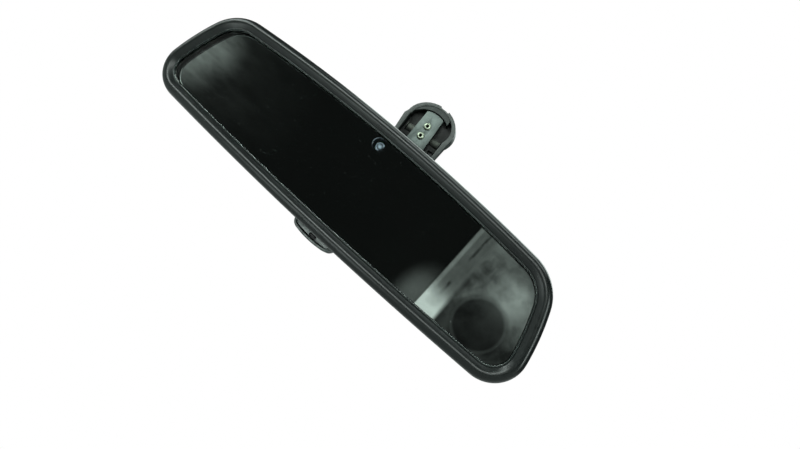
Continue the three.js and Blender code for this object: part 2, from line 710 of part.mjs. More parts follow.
const cavity = slab(
  arcPoints(FOOT.centreX, FOOT.centreZ, FOOT_CAVITY.halfWidth, FOOT_CAVITY.halfHeight, 0, 350, 35),
  FOOT.frontY - 2, FOOT.floorY)
  .add(block(-STEM.cavityHalfWidth, STEM.cavityHalfWidth, FOOT.frontY - 2, FOOT.floorY,
    FOOT_CAVITY.bottomZ, FOOT.centreZ));
// crescent ledge over the tip of the spring plate
const tipCentreZ = PLATE.tipZ - PLATE.tipRadius;
const LEDGE = { left: -13, right: 9.6, frontY: FOOT.frontY + 0.5, gap: 0.7, overlap: 0.4 };
const ledgeOutline = arcPoints(FOOT.centreX, FOOT.centreZ, FOOT_CAVITY.halfWidth + LEDGE.overlap,
  FOOT_CAVITY.halfHeight + LEDGE.overlap, 0, 350, 35);
const ledge = slab(ledgeOutline, LEDGE.frontY, FOOT.floorY + 0.5)
  .intersect(block(LEDGE.left, LEDGE.right, LEDGE.frontY - 1, FOOT.backY, FOOT.centreZ + 1, 80))
  .subtract(disc(PLATE.tipRadius + LEDGE.gap, LEDGE.frontY - 1, FOOT.backY, 0, tipCentreZ, 48));
// pad under the root of the spring plate
const PAD_FRONT_Y = 60.3;
const pad = block(-4.6, 4.6, PAD_FRONT_Y, FOOT.floorY + 0.5, 44, 61);
footShell = footShell.add(boss).subtract(cavity).add(ledge).add(pad);
const notch = slab(collarOutline(-1), FOOT.frontY - 1, FOOT.floorY)
  .subtract(slab(collarOutline(NOTCH.depth), FOOT.frontY - 2, FOOT.backY))
  .intersect(block(NOTCH.left, NOTCH.right, FOOT.frontY - 2, FOOT.backY, FOOT.centreZ, 80));
footShell = footShell.subtract(notch);
for (const side of [-1, 1]) {
  const x = side * ARM_WINDOW.x;
  footShell = footShell.subtract(block(x - ARM_WINDOW.halfWidth, x + ARM_WINDOW.halfWidth,
    FOOT.floorY - 1, FOOT.backY + 1, ARM_WINDOW.bottomZ, ARM_WINDOW.topZ));
}
const RIVET_BORE = 1.6;
const rivetBores = RIVET_Z
  .map(z => disc(RIVET_BORE, PLATE.y - 1, FOOT.backY + 1, 0, z, 20))
  .reduce((all, bore) => all.add(bore));
const NUT_FLOOR_Y = FOOT.backY - 4;
footShell = footShell
  .subtract(rivetBores)
  .subtract(disc(SHANK_RADIUS + 0.3, BOSS_FRONT_Y - 1, FOOT.backY + 1, 0, 0, 24))
  .subtract(disc(8, NUT_FLOOR_Y, FOOT.backY + 1, 0, 0, 32));
addPiece(foot, 'foot_shell', footShell, { color: 0x232524, roughness: 0.55, metalness: 0 });

addPiece(foot, 'arm_cover', armPlan(
  [[3.4, COVER.frontY], [4.6, COVER.backY]],
  [[0.9, COVER.frontY], [1.9, COVER.backY]],
), BLACK_PLASTIC);

const studWasher = tube(SHANK_RADIUS + 0.3, 6.6, NUT_FLOOR_Y + 0.25, NUT_FLOOR_Y + 1.05, 0, 0, 28);
addPiece(foot, 'stud_washer', studWasher, STEEL_LOOK);
const nutFlats = slab(arcPoints(0, 0, 5.8, 5.8, 0, 300, 5), NUT_FLOOR_Y + 1.3, FOOT.backY - 0.4);
const nutBore = disc(SHANK_RADIUS + 0.25, NUT_FLOOR_Y, FOOT.backY, 0, 0, 24);
addPiece(foot, 'stud_nut', nutFlats.subtract(nutBore), STEEL_LOOK);

// leaf spring plate, slightly wider at its root, with an arc for a tip
const tipHalfAngle = Math.asin(PLATE.tipHalfWidth / PLATE.tipRadius) / DEG;
const springOutline = [
  [-PLATE.rootHalfWidth, PLATE.bottomZ],
  [PLATE.rootHalfWidth, PLATE.bottomZ],
  ...arcPoints(0, tipCentreZ, PLATE.tipRadius, PLATE.tipRadius, 90 - tipHalfAngle, 90 + tipHalfAngle, 10),
];
addPiece(foot, 'spring_plate', slab(springOutline, PLATE.y, PLATE.y + PLATE.thickness).subtract(rivetBores),
  { color: 0xa7a9a8, roughness: 0.4, metalness: 0.9 });

// bent sheet clip under the plate: a saddle over the pad and two arms along the floor with upright ears
const CLIP_Y = PLATE.y + PLATE.thickness + 0.3;
const CLIP_THICKNESS = 0.6;
const CLIP_FLOOR_Y = FOOT.floorY - 0.3;
const CLIP_ARM = { bottomZ: 50, topZ: 54.5, endX: 12.2 };
const EAR_HEIGHT = 2.2;
let buttonClip = block(-5.6, 5.6, CLIP_Y, CLIP_Y + CLIP_THICKNESS, 47, 60.6);
for (const side of [-1, 1]) {
  const inner = side * 5.3;
  const outer = side * CLIP_ARM.endX;
  buttonClip = buttonClip
    .add(block(inner - 0.3, inner + 0.3, CLIP_Y, CLIP_FLOOR_Y, CLIP_ARM.bottomZ, CLIP_ARM.topZ))
    .add(block(Math.min(inner, outer), Math.max(inner, outer), CLIP_FLOOR_Y - CLIP_THICKNESS, CLIP_FLOOR_Y,
      CLIP_ARM.bottomZ, CLIP_ARM.topZ))
    .add(block(outer - 0.3, outer + 0.3, CLIP_FLOOR_Y - EAR_HEIGHT, CLIP_FLOOR_Y,
      CLIP_ARM.bottomZ, CLIP_ARM.topZ));
}
addPiece(foot, 'button_clip', buttonClip.subtract(rivetBores),
  { color: 0x6f716f, roughness: 0.4, metalness: 1 });

for (const [index, z] of RIVET_Z.entries()) {
  addPiece(foot, `hollow_rivet_${index + 1}`, turned([
    [0.8, PLATE.y - 0.6],
    [1.3, PLATE.y - 0.85],
    [2.1, PLATE.y - 0.75],
    [2.4, PLATE.y - 0.5],
    [2.4, PLATE.y - 0.25],
    [1.3, PLATE.y - 0.25],
    [1.3, SHANK_END_Y],
    [0.8, SHANK_END_Y],
    [0.8, PLATE.y - 0.6],
  ], 24, 0, z), { color: 0xc9c7a8, roughness: 0.25, metalness: 1 });
}
foot.rotation.y = FOOT_LEAN;

// ---------------------------------------------------------------- assembly

assembly.add(head, ballJoint, foot);
assembly.position.copy(FACE_POINT.applyAxisAngle(new THREE.Vector3(0, 1, 0), FOOT_LEAN).negate());
assembly.updateMatrixWorld(true);

export default assembly;
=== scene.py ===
# Looks of the interior rearview mirror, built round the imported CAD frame.
# Lengths inside the helpers are millimetres measured from the middle of the glass's front face:
# x along the mirror, y away from the viewer, z up. spot() turns them into the frame of the scene.
import json
import math

import bmesh
import bpy
from mathutils import Matrix, Vector


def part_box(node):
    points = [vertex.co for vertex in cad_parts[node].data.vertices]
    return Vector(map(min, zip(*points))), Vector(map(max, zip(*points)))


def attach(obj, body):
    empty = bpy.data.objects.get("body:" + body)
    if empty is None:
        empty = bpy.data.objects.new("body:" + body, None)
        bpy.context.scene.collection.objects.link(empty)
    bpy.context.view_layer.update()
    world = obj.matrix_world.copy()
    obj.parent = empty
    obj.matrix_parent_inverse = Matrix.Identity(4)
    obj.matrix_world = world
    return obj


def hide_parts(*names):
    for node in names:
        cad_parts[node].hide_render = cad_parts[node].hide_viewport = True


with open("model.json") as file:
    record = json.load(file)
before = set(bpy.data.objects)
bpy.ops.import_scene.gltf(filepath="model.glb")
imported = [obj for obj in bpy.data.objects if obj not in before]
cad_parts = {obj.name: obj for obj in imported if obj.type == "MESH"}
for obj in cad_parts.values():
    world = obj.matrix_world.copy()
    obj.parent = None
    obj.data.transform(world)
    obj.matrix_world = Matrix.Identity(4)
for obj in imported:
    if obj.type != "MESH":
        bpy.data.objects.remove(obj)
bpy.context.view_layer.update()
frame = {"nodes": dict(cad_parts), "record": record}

bezel_low, bezel_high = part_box("bezel")
glass_low, glass_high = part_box("front_glass")
HEAD_CENTRE = Vector(((bezel_low.x + bezel_high.x) / 2, glass_low.y, (bezel_low.z + bezel_high.z) / 2))
MM = 0.001


def spot(x, y, z):
    return HEAD_CENTRE + Vector((x, y, z)) * MM


def node_box_mm(node):
    low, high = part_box(node)
    return (low - HEAD_CENTRE) / MM, (high - HEAD_CENTRE) / MM


def centre_xz(low, high):
    return (low.x + high.x) / 2, (low.z + high.z) / 2


# ------------------------------------------------------------------ outline of the head

HALF_HEIGHT = (bezel_high.z - bezel_low.z) / 2 / MM
# radius, sweep in degrees and steps of the tangent arcs from the top centre to the lower corner
ARCS = [(1066, 5.15, 26), (24.5, 62.2, 22), (125, 12.35, 10), (17.3, 97.8, 26)]
BOTTOM_STEPS = 26


def head_outline(inset):
    half = []
    x, z, heading = 0.0, HALF_HEIGHT, 0.0
    for radius, sweep, steps in ARCS:
        cx = x - radius * math.sin(heading)
        cz = z - radius * math.cos(heading)
        for i in range(steps):
            a = heading + math.radians(sweep) * i / steps
            half.append((cx + (radius - inset) * math.sin(a), cz + (radius - inset) * math.cos(a)))
        heading += math.radians(sweep)
        x = cx + radius * math.sin(heading)
        z = cz + radius * math.cos(heading)
    bottom_radius = x / math.sin(heading)
    cz = z - bottom_radius * math.cos(heading)
    for i in range(BOTTOM_STEPS + 1):
        a = heading + (math.pi - heading) * i / BOTTOM_STEPS
        half.append(((bottom_radius - inset) * math.sin(a), cz + (bottom_radius - inset) * math.cos(a)))
    return half + [(-px, pz) for px, pz in reversed(half[1:-1])]


def head_ring(inset, y, scale=1.0):
    return [spot(x * scale, y, z * scale) for x, z in head_outline(inset)]


SMOOTH_STEPS = 5


def smooth_line(points):
    """Catmull-Rom line through the points, in SMOOTH_STEPS steps from each to the next."""
    line = []
    for i in range(len(points) - 1):
        p0 = Vector(points[max(i - 1, 0)])
        p1 = Vector(points[i])
        p2 = Vector(points[i + 1])
        p3 = Vector(points[min(i + 2, len(points) - 1)])
        for k in range(SMOOTH_STEPS):
            t = k / SMOOTH_STEPS
            line.append(0.5 * (2 * p1 + (p2 - p0) * t + (2 * p0 - 5 * p1 + 4 * p2 - p3) * t * t
                               + (3 * p1 - p0 - 3 * p2 + p3) * t ** 3))
    line.append(Vector(points[-1]))
    return line


# ------------------------------------------------------------------ mesh helpers

SHARP_DEG = 35
# stands for a radius of nought, so that a ring on the axis keeps its points
AXIS_RADIUS = 1e-4


def new_object(name, bm, sharp_deg=SHARP_DEG):
    bmesh.ops.remove_doubles(bm, verts=bm.verts, dist=1e-7)
    bmesh.ops.recalc_face_normals(bm, faces=bm.faces)
    mesh = bpy.data.meshes.new(name)
    bm.to_mesh(mesh)
    bm.free()
    obj = bpy.data.objects.new(name, mesh)
    bpy.context.scene.collection.objects.link(obj)
    smooth(obj, sharp_deg)
    return obj


def smooth(obj, sharp_deg):
    for polygon in obj.data.polygons:
        polygon.use_smooth = True
    obj.data.set_sharp_from_angle(angle=math.radians(sharp_deg))


def loft(name, rings, closed=False, sharp_deg=SHARP_DEG):
    """Skins the rings in order. The ends are capped, unless the last ring joins the first."""
    bm = bmesh.new()
    loops = [[bm.verts.new(p) for p in ring] for ring in rings]
    count = len(rings[0])
    spans = len(loops) if closed else len(loops) - 1
    for k in range(spans):
        a, b = loops[k], loops[(k + 1) % len(loops)]
        for i in range(count):
            j = (i + 1) % count
            bm.faces.new((a[i], a[j], b[j], b[i]))
    if not closed:
        bm.faces.new(loops[0])
        bm.faces.new(list(reversed(loops[-1])))
    return new_object(name, bm, sharp_deg)


def circle(x, y, z, radius, segments):
    turns = [2 * math.pi * i / segments for i in range(segments)]
    return [spot(x + radius * math.cos(a), y, z + radius * math.sin(a)) for a in turns]


def turned(name, profile, x, z, segments=64):
    """Profile of (radius, y) turned about a line parallel to Y."""
    return loft(name, [circle(x, y, z, max(r, AXIS_RADIUS), segments) for r, y in profile])


def slab(name, points, y0, y1):
    """Outline of (x, z) points drawn out along Y."""
    bm = bmesh.new()
    lower = [bm.verts.new(spot(x, y0, z)) for x, z in points]
    upper = [bm.verts.new(spot(x, y1, z)) for x, z in points]
    bm.faces.new(lower)
    bm.faces.new(list(reversed(upper)))
    for i in range(len(points)):
        j = (i + 1) % len(points)
        bm.faces.new((lower[i], lower[j], upper[j], upper[i]))
    return new_object(name, bm)


def arc(cx, cz, rx, rz, a0, a1, steps):
    """Points on an ellipse from angle a0 to a1, in degrees."""
    angles = [math.radians(a0 + (a1 - a0) * i / steps) for i in range(steps + 1)]
    return [(cx + rx * math.cos(a), cz + rz * math.sin(a)) for a in angles]


def cut(obj, tools, operation="DIFFERENCE"):
    """Booleans the tools into obj, applies them and removes the tools."""
    for tool in tools:
        step = obj.modifiers.new("cut", "BOOLEAN")
        step.operation = operation
        step.solver = "EXACT"
        step.object = tool
    bake(obj)
    for tool in tools:
        bpy.data.objects.remove(tool)


def bake(obj, sharp_deg=SHARP_DEG):
    """Applies the modifiers of obj."""
    bpy.context.view_layer.update()
    graph = bpy.context.evaluated_depsgraph_get()
    mesh = bpy.data.meshes.new_from_object(obj.evaluated_get(graph))
    obj.modifiers.clear()
    obj.data = mesh
    smooth(obj, sharp_deg)


def refined(node, name, bevel_mm):
    """A finer copy of a CAD node, with its flat faces merged and its edges rounded."""
    copy = bpy.data.objects.new(name, frame["nodes"][node].data.copy())
    bpy.context.scene.collection.objects.link(copy)
    weld = copy.modifiers.new("weld", "WELD")
    weld.merge_threshold = 2e-6
    flat = copy.modifiers.new("flat", "DECIMATE")
    flat.decimate_type = "DISSOLVE"
    flat.angle_limit = math.radians(0.6)
    bevel = copy.modifiers.new("bevel", "BEVEL")
    bevel.width = bevel_mm * MM
    bevel.segments = 3
    bevel.limit_method = "ANGLE"
    bevel.angle_limit = math.radians(38)
    bevel.use_clamp_overlap = True
    bake(copy)
    return copy


def place(obj, body, material, slot, *nodes):
    """Gives a piece its material and body, and names the CAD nodes that it replaces. slot is not used.
    """
    obj.data.materials.clear()
    obj.data.materials.append(material)
    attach(obj, body)
    if nodes:
        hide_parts(*nodes)


def finer(node, name, bevel_mm, body, material, slot):
    """Places a refined copy of a CAD node in its stead."""
    place(refined(node, name, bevel_mm), body, material, slot, node)


# ------------------------------------------------------------------ materials

class Nodes:
    """A helper for building one Principled material."""

    def __init__(self, name):
        self.material = bpy.data.materials.new(name)
        self.material.use_nodes = True
        self.tree = self.material.node_tree
        self.shader = self.tree.nodes["Principled BSDF"]
        self.coords = self.add("ShaderNodeTexCoord").outputs["Object"]

    def add(self, kind, **settings):
        node = self.tree.nodes.new(kind)
        for key, value in settings.items():
            setattr(node, key, value)
        return node

    def link(self, source, target):
        self.tree.links.new(source, target)

    def mapped(self, scale):
        node = self.add("ShaderNodeMapping")
        node.inputs["Scale"].default_value = scale
        self.link(self.coords, node.inputs["Vector"])
        return node.outputs["Vector"]

    def noise(self, scale, detail=4.0, rough=0.55, stretch=None):
        node = self.add("ShaderNodeTexNoise")
        node.inputs["Scale"].default_value = scale
        node.inputs["Detail"].default_value = detail
        node.inputs["Roughness"].default_value = rough
        self.link(self.mapped(stretch) if stretch else self.coords, node.inputs["Vector"])
        return node.outputs["Fac"]

    def cells(self, scale):
        node = self.add("ShaderNodeTexVoronoi", feature="F1")
        node.inputs["Scale"].default_value = scale
        self.link(self.coords, node.inputs["Vector"])
        return node.outputs["Distance"]

    def spread(self, source, low, high, out_low, out_high):
        node = self.add("ShaderNodeMapRange")
        node.inputs["From Min"].default_value = low
        node.inputs["From Max"].default_value = high
        node.inputs["To Min"].default_value = out_low
        node.inputs["To Max"].default_value = out_high
        self.link(source, node.inputs["Value"])
        return node.outputs["Result"]

    def math(self, operation, a, b):
        node = self.add("ShaderNodeMath", operation=operation)
        for socket, value in zip(node.inputs, (a, b)):
            if isinstance(value, (int, float)):
                socket.default_value = value
            else:
                self.link(value, socket)
        return node.outputs[0]

    def ramp(self, source, stops):
        node = self.add("ShaderNodeValToRGB")
        elements = node.color_ramp.elements
        while len(elements) < len(stops):
            elements.new(0.5)
        for element, (position, color) in zip(elements, stops):
            element.position = position
            element.color = (*color, 1)
        self.link(source, node.inputs["Fac"])
        return node.outputs["Color"]

    def blend(self, factor, a, b):
        node = self.add("ShaderNodeMix", data_type="RGBA")
        self.link(factor, node.inputs["Factor"])
        sockets = [s for s in node.inputs if s.type == "RGBA"]
        for socket, value in zip(sockets, (a, b)):
            if isinstance(value, tuple):
                socket.default_value = (*value, 1)
            else:
                self.link(value, socket)
        return next(s for s in node.outputs if s.type == "RGBA")

    def bump(self, height, strength, distance):
        node = self.add("ShaderNodeBump")
        node.inputs["Strength"].default_value = strength
        node.inputs["Distance"].default_value = distance
        self.link(height, node.inputs["Height"])
        self.link(node.outputs["Normal"], self.shader.inputs["Normal"])

    def set(self, **values):
        for key, value in values.items():
            socket = self.shader.inputs[key.replace("_", " ")]
            if isinstance(value, tuple):
                socket.default_value = (*value, 1)
            elif isinstance(value, (int, float)):
                socket.default_value = value
            else:
                self.link(value, socket)


def moulded_plastic(name, dark, light, rough_low, rough_high, grain, grain_depth,
                    dust=0.0, painted_sheen_below=None):
    """Injection-moulded plastic: fine spark grain, slow colour drift, rub marks and a little dust.

    grain is the noise scale of the spark grain and grain_depth its depth in millimetres. Under the
    height given last, counted from the middle of the head, its front is painted paler and made shinier:
    a painted highlight standing for light on the front of the chin."""
    m = Nodes(name)
    drift = m.noise(55, 5, 0.6)
    color = m.ramp(drift, [(0.32, dark), (0.72, light)])
    if dust:
        specks = m.cells(620)
        near = m.spread(specks, 0.05, 0.13, 1.0, 0.0)
        patchy = m.spread(m.noise(38, 3), 0.48, 0.72, 0.0, dust)
        color = m.blend(m.math("MULTIPLY", near, patchy), color, (0.42, 0.42, 0.39))
    # painted highlight: below the given height and at the front, the colour is painted paler and the
    # specular level raised
    if painted_sheen_below is not None:
        parts = m.add("ShaderNodeSeparateXYZ")
        m.link(m.coords, parts.inputs["Vector"])
        height = HEAD_CENTRE.z + painted_sheen_below * MM
        fade_from, fade_to = spot(0, 22.6, 0).y, spot(0, 21.6, 0).y
        low = m.spread(parts.outputs["Z"], height, height - 1.5 * MM, 0.0, 1.0)
        front = m.spread(parts.outputs["Y"], fade_from, fade_to, 0.0, 1.0)
        painted_sheen_zone = m.math("MULTIPLY", low, front)
        pale_tone = m.math("MULTIPLY", painted_sheen_zone, m.spread(m.noise(300, 5, 0.6), 0.35, 0.6, 0.45, 1.0))
        color = m.blend(pale_tone, color, (0.085, 0.105, 0.098))
        m.set(Specular_IOR_Level=m.spread(pale_tone, 0.0, 1.0, 0.5, 0.9))
    rubs = m.noise(90, 6, 0.65, (1, 1, 3.5))
    m.set(Base_Color=color, Roughness=m.spread(rubs, 0.3, 0.75, rough_low, rough_high), IOR=1.47)
    m.bump(m.noise(grain, 2.5, 0.5), 0.55, grain_depth * MM)
    return m.material


def foot_plastic(name):
    """Foot moulding: mottled grey on its rim and outer wall, and painted shade in an oval inside the
    cup, which is painted near black and given less specular.
    """
    m = Nodes(name)
    low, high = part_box("spring_plate")
    mapping = m.add("ShaderNodeMapping")
    plate_x, plate_z = centre_xz(low, high)
    oval_x, oval_z = plate_x - 0.2 * MM, plate_z - 3.0 * MM
    half_width, half_height = 16.0 * MM, 27.5 * MM
    mapping.inputs["Scale"].default_value = (1 / half_width, 0, 1 / half_height)
    mapping.inputs["Location"].default_value = (-oval_x / half_width, 0, -oval_z / half_height)
    m.link(m.coords, mapping.inputs["Vector"])
    cup = m.add("ShaderNodeTexGradient", gradient_type="SPHERICAL")
    m.link(mapping.outputs["Vector"], cup.inputs["Vector"])
    parts = m.add("ShaderNodeSeparateXYZ")
    m.link(m.coords, parts.inputs["Vector"])
    # painted shade: in an oval inside the cup, fading in along y, the colour is painted near black and
    # the specular level lowered
    deep = m.spread(parts.outputs["Y"], 0.3 * MM, 2.2 * MM, 0.0, 1.0)
    inside = m.math("MULTIPLY", m.spread(cup.outputs["Fac"], 0.0, 0.03, 0.0, 1.0), deep)
    rim_mottle = m.noise(260, 6, 0.7)
    pale_tone = m.ramp(rim_mottle, [(0.3, (0.020, 0.026, 0.023)), (0.55, (0.040, 0.050, 0.045)),
                         (0.78, (0.085, 0.10, 0.092))])
    dark = m.ramp(m.noise(420, 4), [(0.3, (0.0035, 0.0045, 0.004)), (0.75, (0.010, 0.012, 0.010))])
    m.set(Base_Color=m.blend(inside, pale_tone, dark),
          Roughness=m.spread(m.noise(90, 6, 0.65), 0.3, 0.75, 0.36, 0.52),
          Specular_IOR_Level=m.spread(inside, 0.0, 1.0, 0.5, 0.22))
    m.bump(m.noise(1200, 2.5, 0.5), 0.5, 0.025 * MM)
    return m.material


def bare_metal(name, dark, light, rough_low, rough_high, stretch, scratch=0.02):
    """Plated or rolled metal with rolling lines, stains and fine scratches."""
    m = Nodes(name)
    stain = m.noise(120, 6, 0.65)
    lines = m.noise(700, 3, 0.6, stretch)
    m.set(Base_Color=m.ramp(stain, [(0.3, dark), (0.7, light)]), Metallic=1.0,
          Roughness=m.spread(lines, 0.25, 0.8, rough_low, rough_high))
    m.bump(lines, 0.4, scratch * MM)
    return m.material


def rubbery(name, dark, light, rough, pore_scale, pore_depth):
    """Foam and soft rubber: open pores and a dull surface."""
    m = Nodes(name)
    pores = m.cells(pore_scale)
    m.set(Base_Color=m.ramp(pores, [(0.1, dark), (0.6, light)]),
          Roughness=m.spread(m.noise(200), 0.3, 0.7, rough - 0.08, rough))
    m.bump(pores, 0.7, pore_depth * MM)
    return m.material


def clear_part(name, tint, rough_low, rough_high, transmission):
    """Clear or smoked moulded plastic."""
    m = Nodes(name)
    haze = m.noise(260, 4, 0.6)
    m.set(Base_Color=m.ramp(haze, [(0.3, tint), (0.8, tuple(min(1, c * 1.08) for c in tint))]),
          Roughness=m.spread(haze, 0.35, 0.8, rough_low, rough_high),
          Transmission_Weight=transmission, IOR=1.5)
    m.bump(m.noise(900, 2), 0.08, 0.004 * MM)
    return m.material


def sensor_lens(name):
    """Milky blue moulded lens with a painted glow: it emits light, most where it faces the camera, so it
    is brightest in its middle.
    """
    m = Nodes(name)
    painted_glow_facing = m.add("ShaderNodeLayerWeight")
    painted_glow_facing.inputs["Blend"].default_value = 0.5
    cloud = m.noise(420, 4, 0.6)
    color = m.ramp(cloud, [(0.3, (0.42, 0.52, 0.60)), (0.75, (0.58, 0.68, 0.76))])
    # painted glow: emission, strongest where the lens faces the camera
    m.set(Base_Color=color, Roughness=m.spread(cloud, 0.3, 0.7, 0.12, 0.24), Emission_Color=color,
          Emission_Strength=m.spread(painted_glow_facing.outputs["Facing"], 0.02, 0.35, 0.62, 0.01))
    return m.material


def glass_front():
    """Front glass of the cell: clear, with dust specks and wipe streaks."""
    m = Nodes("glass_front")
    specks = m.cells(240)
    near = m.spread(specks, 0.02, 0.05, 1.0, 0.0)
    patchy = m.spread(m.noise(22, 3), 0.48, 0.64, 0.0, 0.55)
    dust = m.math("MULTIPLY", near, patchy)
    streak = m.noise(60, 6, 0.7, (0.6, 1, 3.0))
    tint = m.blend(dust, (0.86, 0.9, 0.88), (0.6, 0.62, 0.58))
    wiped = m.spread(streak, 0.45, 0.8, 0.0, 0.035)
    m.set(Base_Color=tint, Roughness=m.math("ADD", wiped, m.math("MULTIPLY", dust, 0.6)),
          Transmission_Weight=m.spread(dust, 0.0, 1.0, 1.0, 0.25), IOR=1.5)
    return m.material


def mirror_coating():
    """Reflecting layer of the rear glass, slightly smoked by the fluid in front of it."""
    m = Nodes("mirror_coating")
    cloud = m.noise(14, 4, 0.6)
    m.set(Base_Color=m.ramp(cloud, [(0.3, (0.60, 0.63, 0.62)), (0.75, (0.66, 0.69, 0.68))]),
          Metallic=1.0,
          Roughness=m.spread(m.noise(180, 5, 0.65, (1, 1, 2.5)), 0.4, 0.8, 0.006, 0.03))
    return m.material


BLACK_BEZEL = moulded_plastic("bezel_black", (0.0035, 0.005, 0.0048), (0.006, 0.0088, 0.0082),
                              0.26, 0.34, 2600, 0.006, 0.10)
# the lip is paler than the bezel: partly more dust, partly a painted highlight along the edge of the
# glass
LIP_DUST_AND_SHEEN = moulded_plastic("lip_dust_and_sheen", (0.005, 0.007, 0.0065), (0.026, 0.034, 0.032), 0.18, 0.34,
                            1500, 0.006, 0.4)
# the chin at the bottom of the housing carries the painted highlight on the lower part of its front
BLACK_HOUSING = moulded_plastic("housing_black", (0.008, 0.010, 0.0095), (0.013, 0.017, 0.0158),
                                0.30, 0.42, 1500, 0.02, 0.2, painted_sheen_below=-33.0)
FOOT_PLASTIC = foot_plastic("foot_grey_black")
INNER_PLASTIC = moulded_plastic("inner_plastic", (0.022, 0.022, 0.024), (0.035, 0.035, 0.037),
                                0.45, 0.6, 1300, 0.02)
LINER_PLASTIC = moulded_plastic("liner_plastic", (0.62, 0.6, 0.54), (0.72, 0.7, 0.64), 0.32, 0.45,
                                900, 0.01)
BOARD_GREEN = moulded_plastic("board_green", (0.012, 0.06, 0.025), (0.02, 0.09, 0.04), 0.3, 0.42,
                              500, 0.015)
CHIP_EPOXY = moulded_plastic("chip_epoxy", (0.012, 0.012, 0.013), (0.02, 0.02, 0.021), 0.4, 0.55,
                             2500, 0.01)
LED_PLASTIC = moulded_plastic("led_plastic", (0.6, 0.56, 0.44), (0.7, 0.66, 0.54), 0.25, 0.35, 900,
                              0.005)
STEEL = bare_metal("plated_steel", (0.42, 0.43, 0.44), (0.6, 0.61, 0.62), 0.22, 0.38, (1, 6, 1))
SPRING_STEEL = bare_metal("spring_steel", (0.065, 0.078, 0.074), (0.10, 0.117, 0.11), 0.38, 0.52,
                          (6, 1, 0.8), 0.015)
CLIP_STEEL = bare_metal("clip_steel", (0.016, 0.018, 0.016), (0.04, 0.043, 0.038), 0.3, 0.45,
                        (1, 1, 6), 0.012)
RIVET_METAL = bare_metal("rivet_metal", (0.20, 0.235, 0.18), (0.34, 0.385, 0.30), 0.26, 0.38,
                         (1, 1, 1), 0.008)
CONTACT_METAL = bare_metal("contact_metal", (0.6, 0.46, 0.2), (0.72, 0.58, 0.3), 0.2, 0.32,
                           (1, 1, 4), 0.008)
CAST_METAL = bare_metal("cast_metal", (0.3, 0.31, 0.32), (0.42, 0.43, 0.44), 0.4, 0.55, (1, 1, 1), 0.03)
SEAL_RUBBER = rubbery("seal_rubber", (0.015, 0.015, 0.015), (0.03, 0.03, 0.03), 0.7, 1500, 0.01)
FOAM = rubbery("foam", (0.03, 0.03, 0.032), (0.09, 0.09, 0.095), 0.97, 1100, 0.12)
SMOKED_LENS = clear_part("smoked_lens", (0.035, 0.032, 0.034), 0.06, 0.16, 0.35)
SENSOR_LENS = sensor_lens("sensor_lens")
CLEAR_LENS = clear_part("clear_lens", (0.74, 0.86, 0.92), 0.10, 0.22, 0.25)
WINDOW_TINT = clear_part("window_tint", (0.84, 0.9, 0.92), 0.02, 0.06, 1.0)
GLASS = glass_front()
COATING = mirror_coating()

# ------------------------------------------------------------------ bezel

# points of the sections are (inset from the outline, y)
LIP_INSET = 8.0
front_roll = smooth_line([
    (0.42, 11.7), (0.0, 7.4), (0.0, 2.7), (0.3, 0.5), (1.05, -1.35), (2.2, -2.5), (3.55, -2.98),
    (4.6, -2.86), (5.4, -2.45), (6.4, -1.75), (7.1, -1.2),
])
hidden_back = [(7.6, -1.1), (7.6, -0.36), (3.4, -0.36), (3.4, 9.4),
               (1.9, 9.6), (1.9, 11.95), (0.8, 12.0)]
section = [(p.x, p.y) for p in front_roll] + hidden_back
bezel = loft("bezel_body", [head_ring(inset, y) for inset, y in section], closed=True, sharp_deg=50)
place(bezel, "head", BLACK_BEZEL, "bezel_plastic", "bezel")
# raised bead at the edge of the glass, in the paler lip material that carries a painted highlight
bead = [(7.12, -1.15), (7.18, -1.34), (7.34, -1.52), (7.58, -1.6), (7.82, -1.5), (7.96, -1.24),
        (LIP_INSET, -0.9), (LIP_INSET, -0.38), (7.64, -0.38), (7.64, -1.0)]
lip = loft("bezel_lip", [head_ring(inset, y) for inset, y in bead], closed=True, sharp_deg=50)
place(lip, "head", LIP_DUST_AND_SHEEN, "bezel_plastic")

# ------------------------------------------------------------------ glass cell

GLASS_INSET = 5.0
GROUND_EDGE = 0.35
glass_depth = (glass_high.y - glass_low.y) / MM
front_glass = loft("front_glass_body", [
    head_ring(GLASS_INSET + GROUND_EDGE, 0.0),
    head_ring(GLASS_INSET + 0.1, 0.1),
    head_ring(GLASS_INSET, GROUND_EDGE),
    head_ring(GLASS_INSET, glass_depth - GROUND_EDGE),
    head_ring(GLASS_INSET + GROUND_EDGE, glass_depth),
], sharp_deg=12)
place(front_glass, "head", GLASS, "front_glass", "front_glass")

sensor_low, sensor_high = node_box_mm("glare_sensor")
sensor_z = (sensor_low.z + sensor_high.z) / 2
rear_low, rear_high = node_box_mm("rear_glass")
WINDOW_RADIUS = 3.5

rear_glass = loft("rear_glass_body", [
    head_ring(GLASS_INSET + GROUND_EDGE, rear_low.y),
    head_ring(GLASS_INSET, rear_low.y + GROUND_EDGE),
    head_ring(GLASS_INSET, rear_high.y - GROUND_EDGE),
    head_ring(GLASS_INSET + GROUND_EDGE, rear_high.y),
])
window_sides = [(WINDOW_RADIUS, rear_low.y - 1), (WINDOW_RADIUS, rear_high.y + 1)]
cut(rear_glass, [turned("window_tool", window_sides, 0, sensor_z)])
place(rear_glass, "head", COATING, "reflector", "rear_glass")
window = turned("sensor_window", [
    (WINDOW_RADIUS - 0.06, rear_low.y + 0.02), (WINDOW_RADIUS - 0.04, rear_low.y + 0.1),
    (WINDOW_RADIUS - 0.04, rear_high.y - 0.1), (WINDOW_RADIUS - 0.06, rear_high.y - 0.02),
], 0, sensor_z)
place(window, "head", WINDOW_TINT, "reflector")

